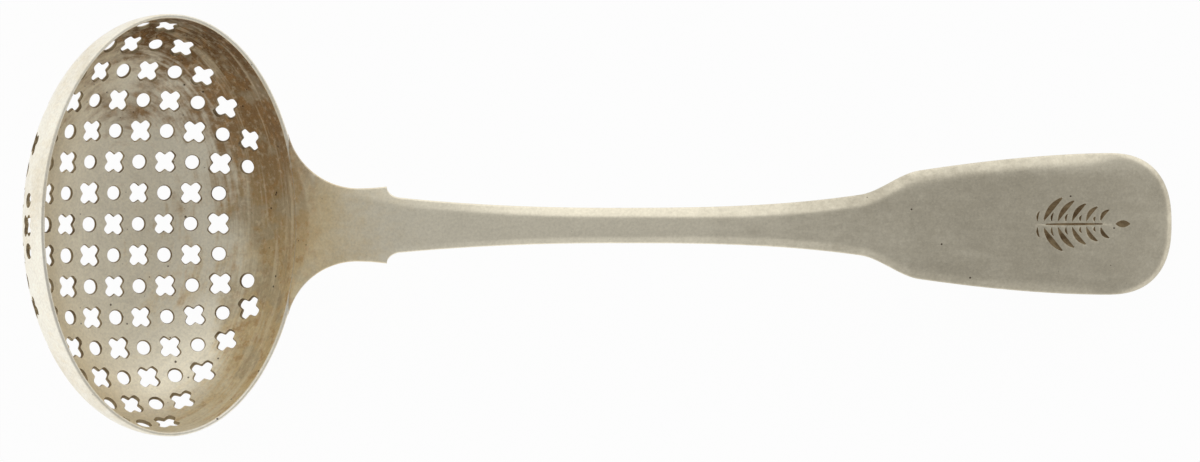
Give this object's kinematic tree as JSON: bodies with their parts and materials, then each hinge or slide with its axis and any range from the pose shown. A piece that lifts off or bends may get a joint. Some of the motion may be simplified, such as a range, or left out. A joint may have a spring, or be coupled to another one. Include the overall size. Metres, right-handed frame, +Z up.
{
  "type": "sifter ladle",
  "caption": "Small silver sifter ladle: an oval pierced bowl with crosses and round holes, soldered to an arched handle of fiddle pattern with notched shoulders.",
  "frame": {"origin": "on the table that the ladle rests on, below the middle of its length and width", "axes": "+X from the bowl to the tip of the handle, +Y across the ladle, +Z up from the table"},
  "size_m": [0.1484, 0.054, 0.0269],
  "materials": {
    "bowl_silver": "old sterling silver, soft polish with brown tarnish inside",
    "handle_silver": "old sterling silver, soft polish with fine scratches",
    "silver_solder": "hard silver solder, filed flush"
  },
  "bodies": {
    "root": {"bowl": "bowl_silver", "handle": "handle_silver", "solder_seam": "silver_solder"}
  },
  "joints": []
}
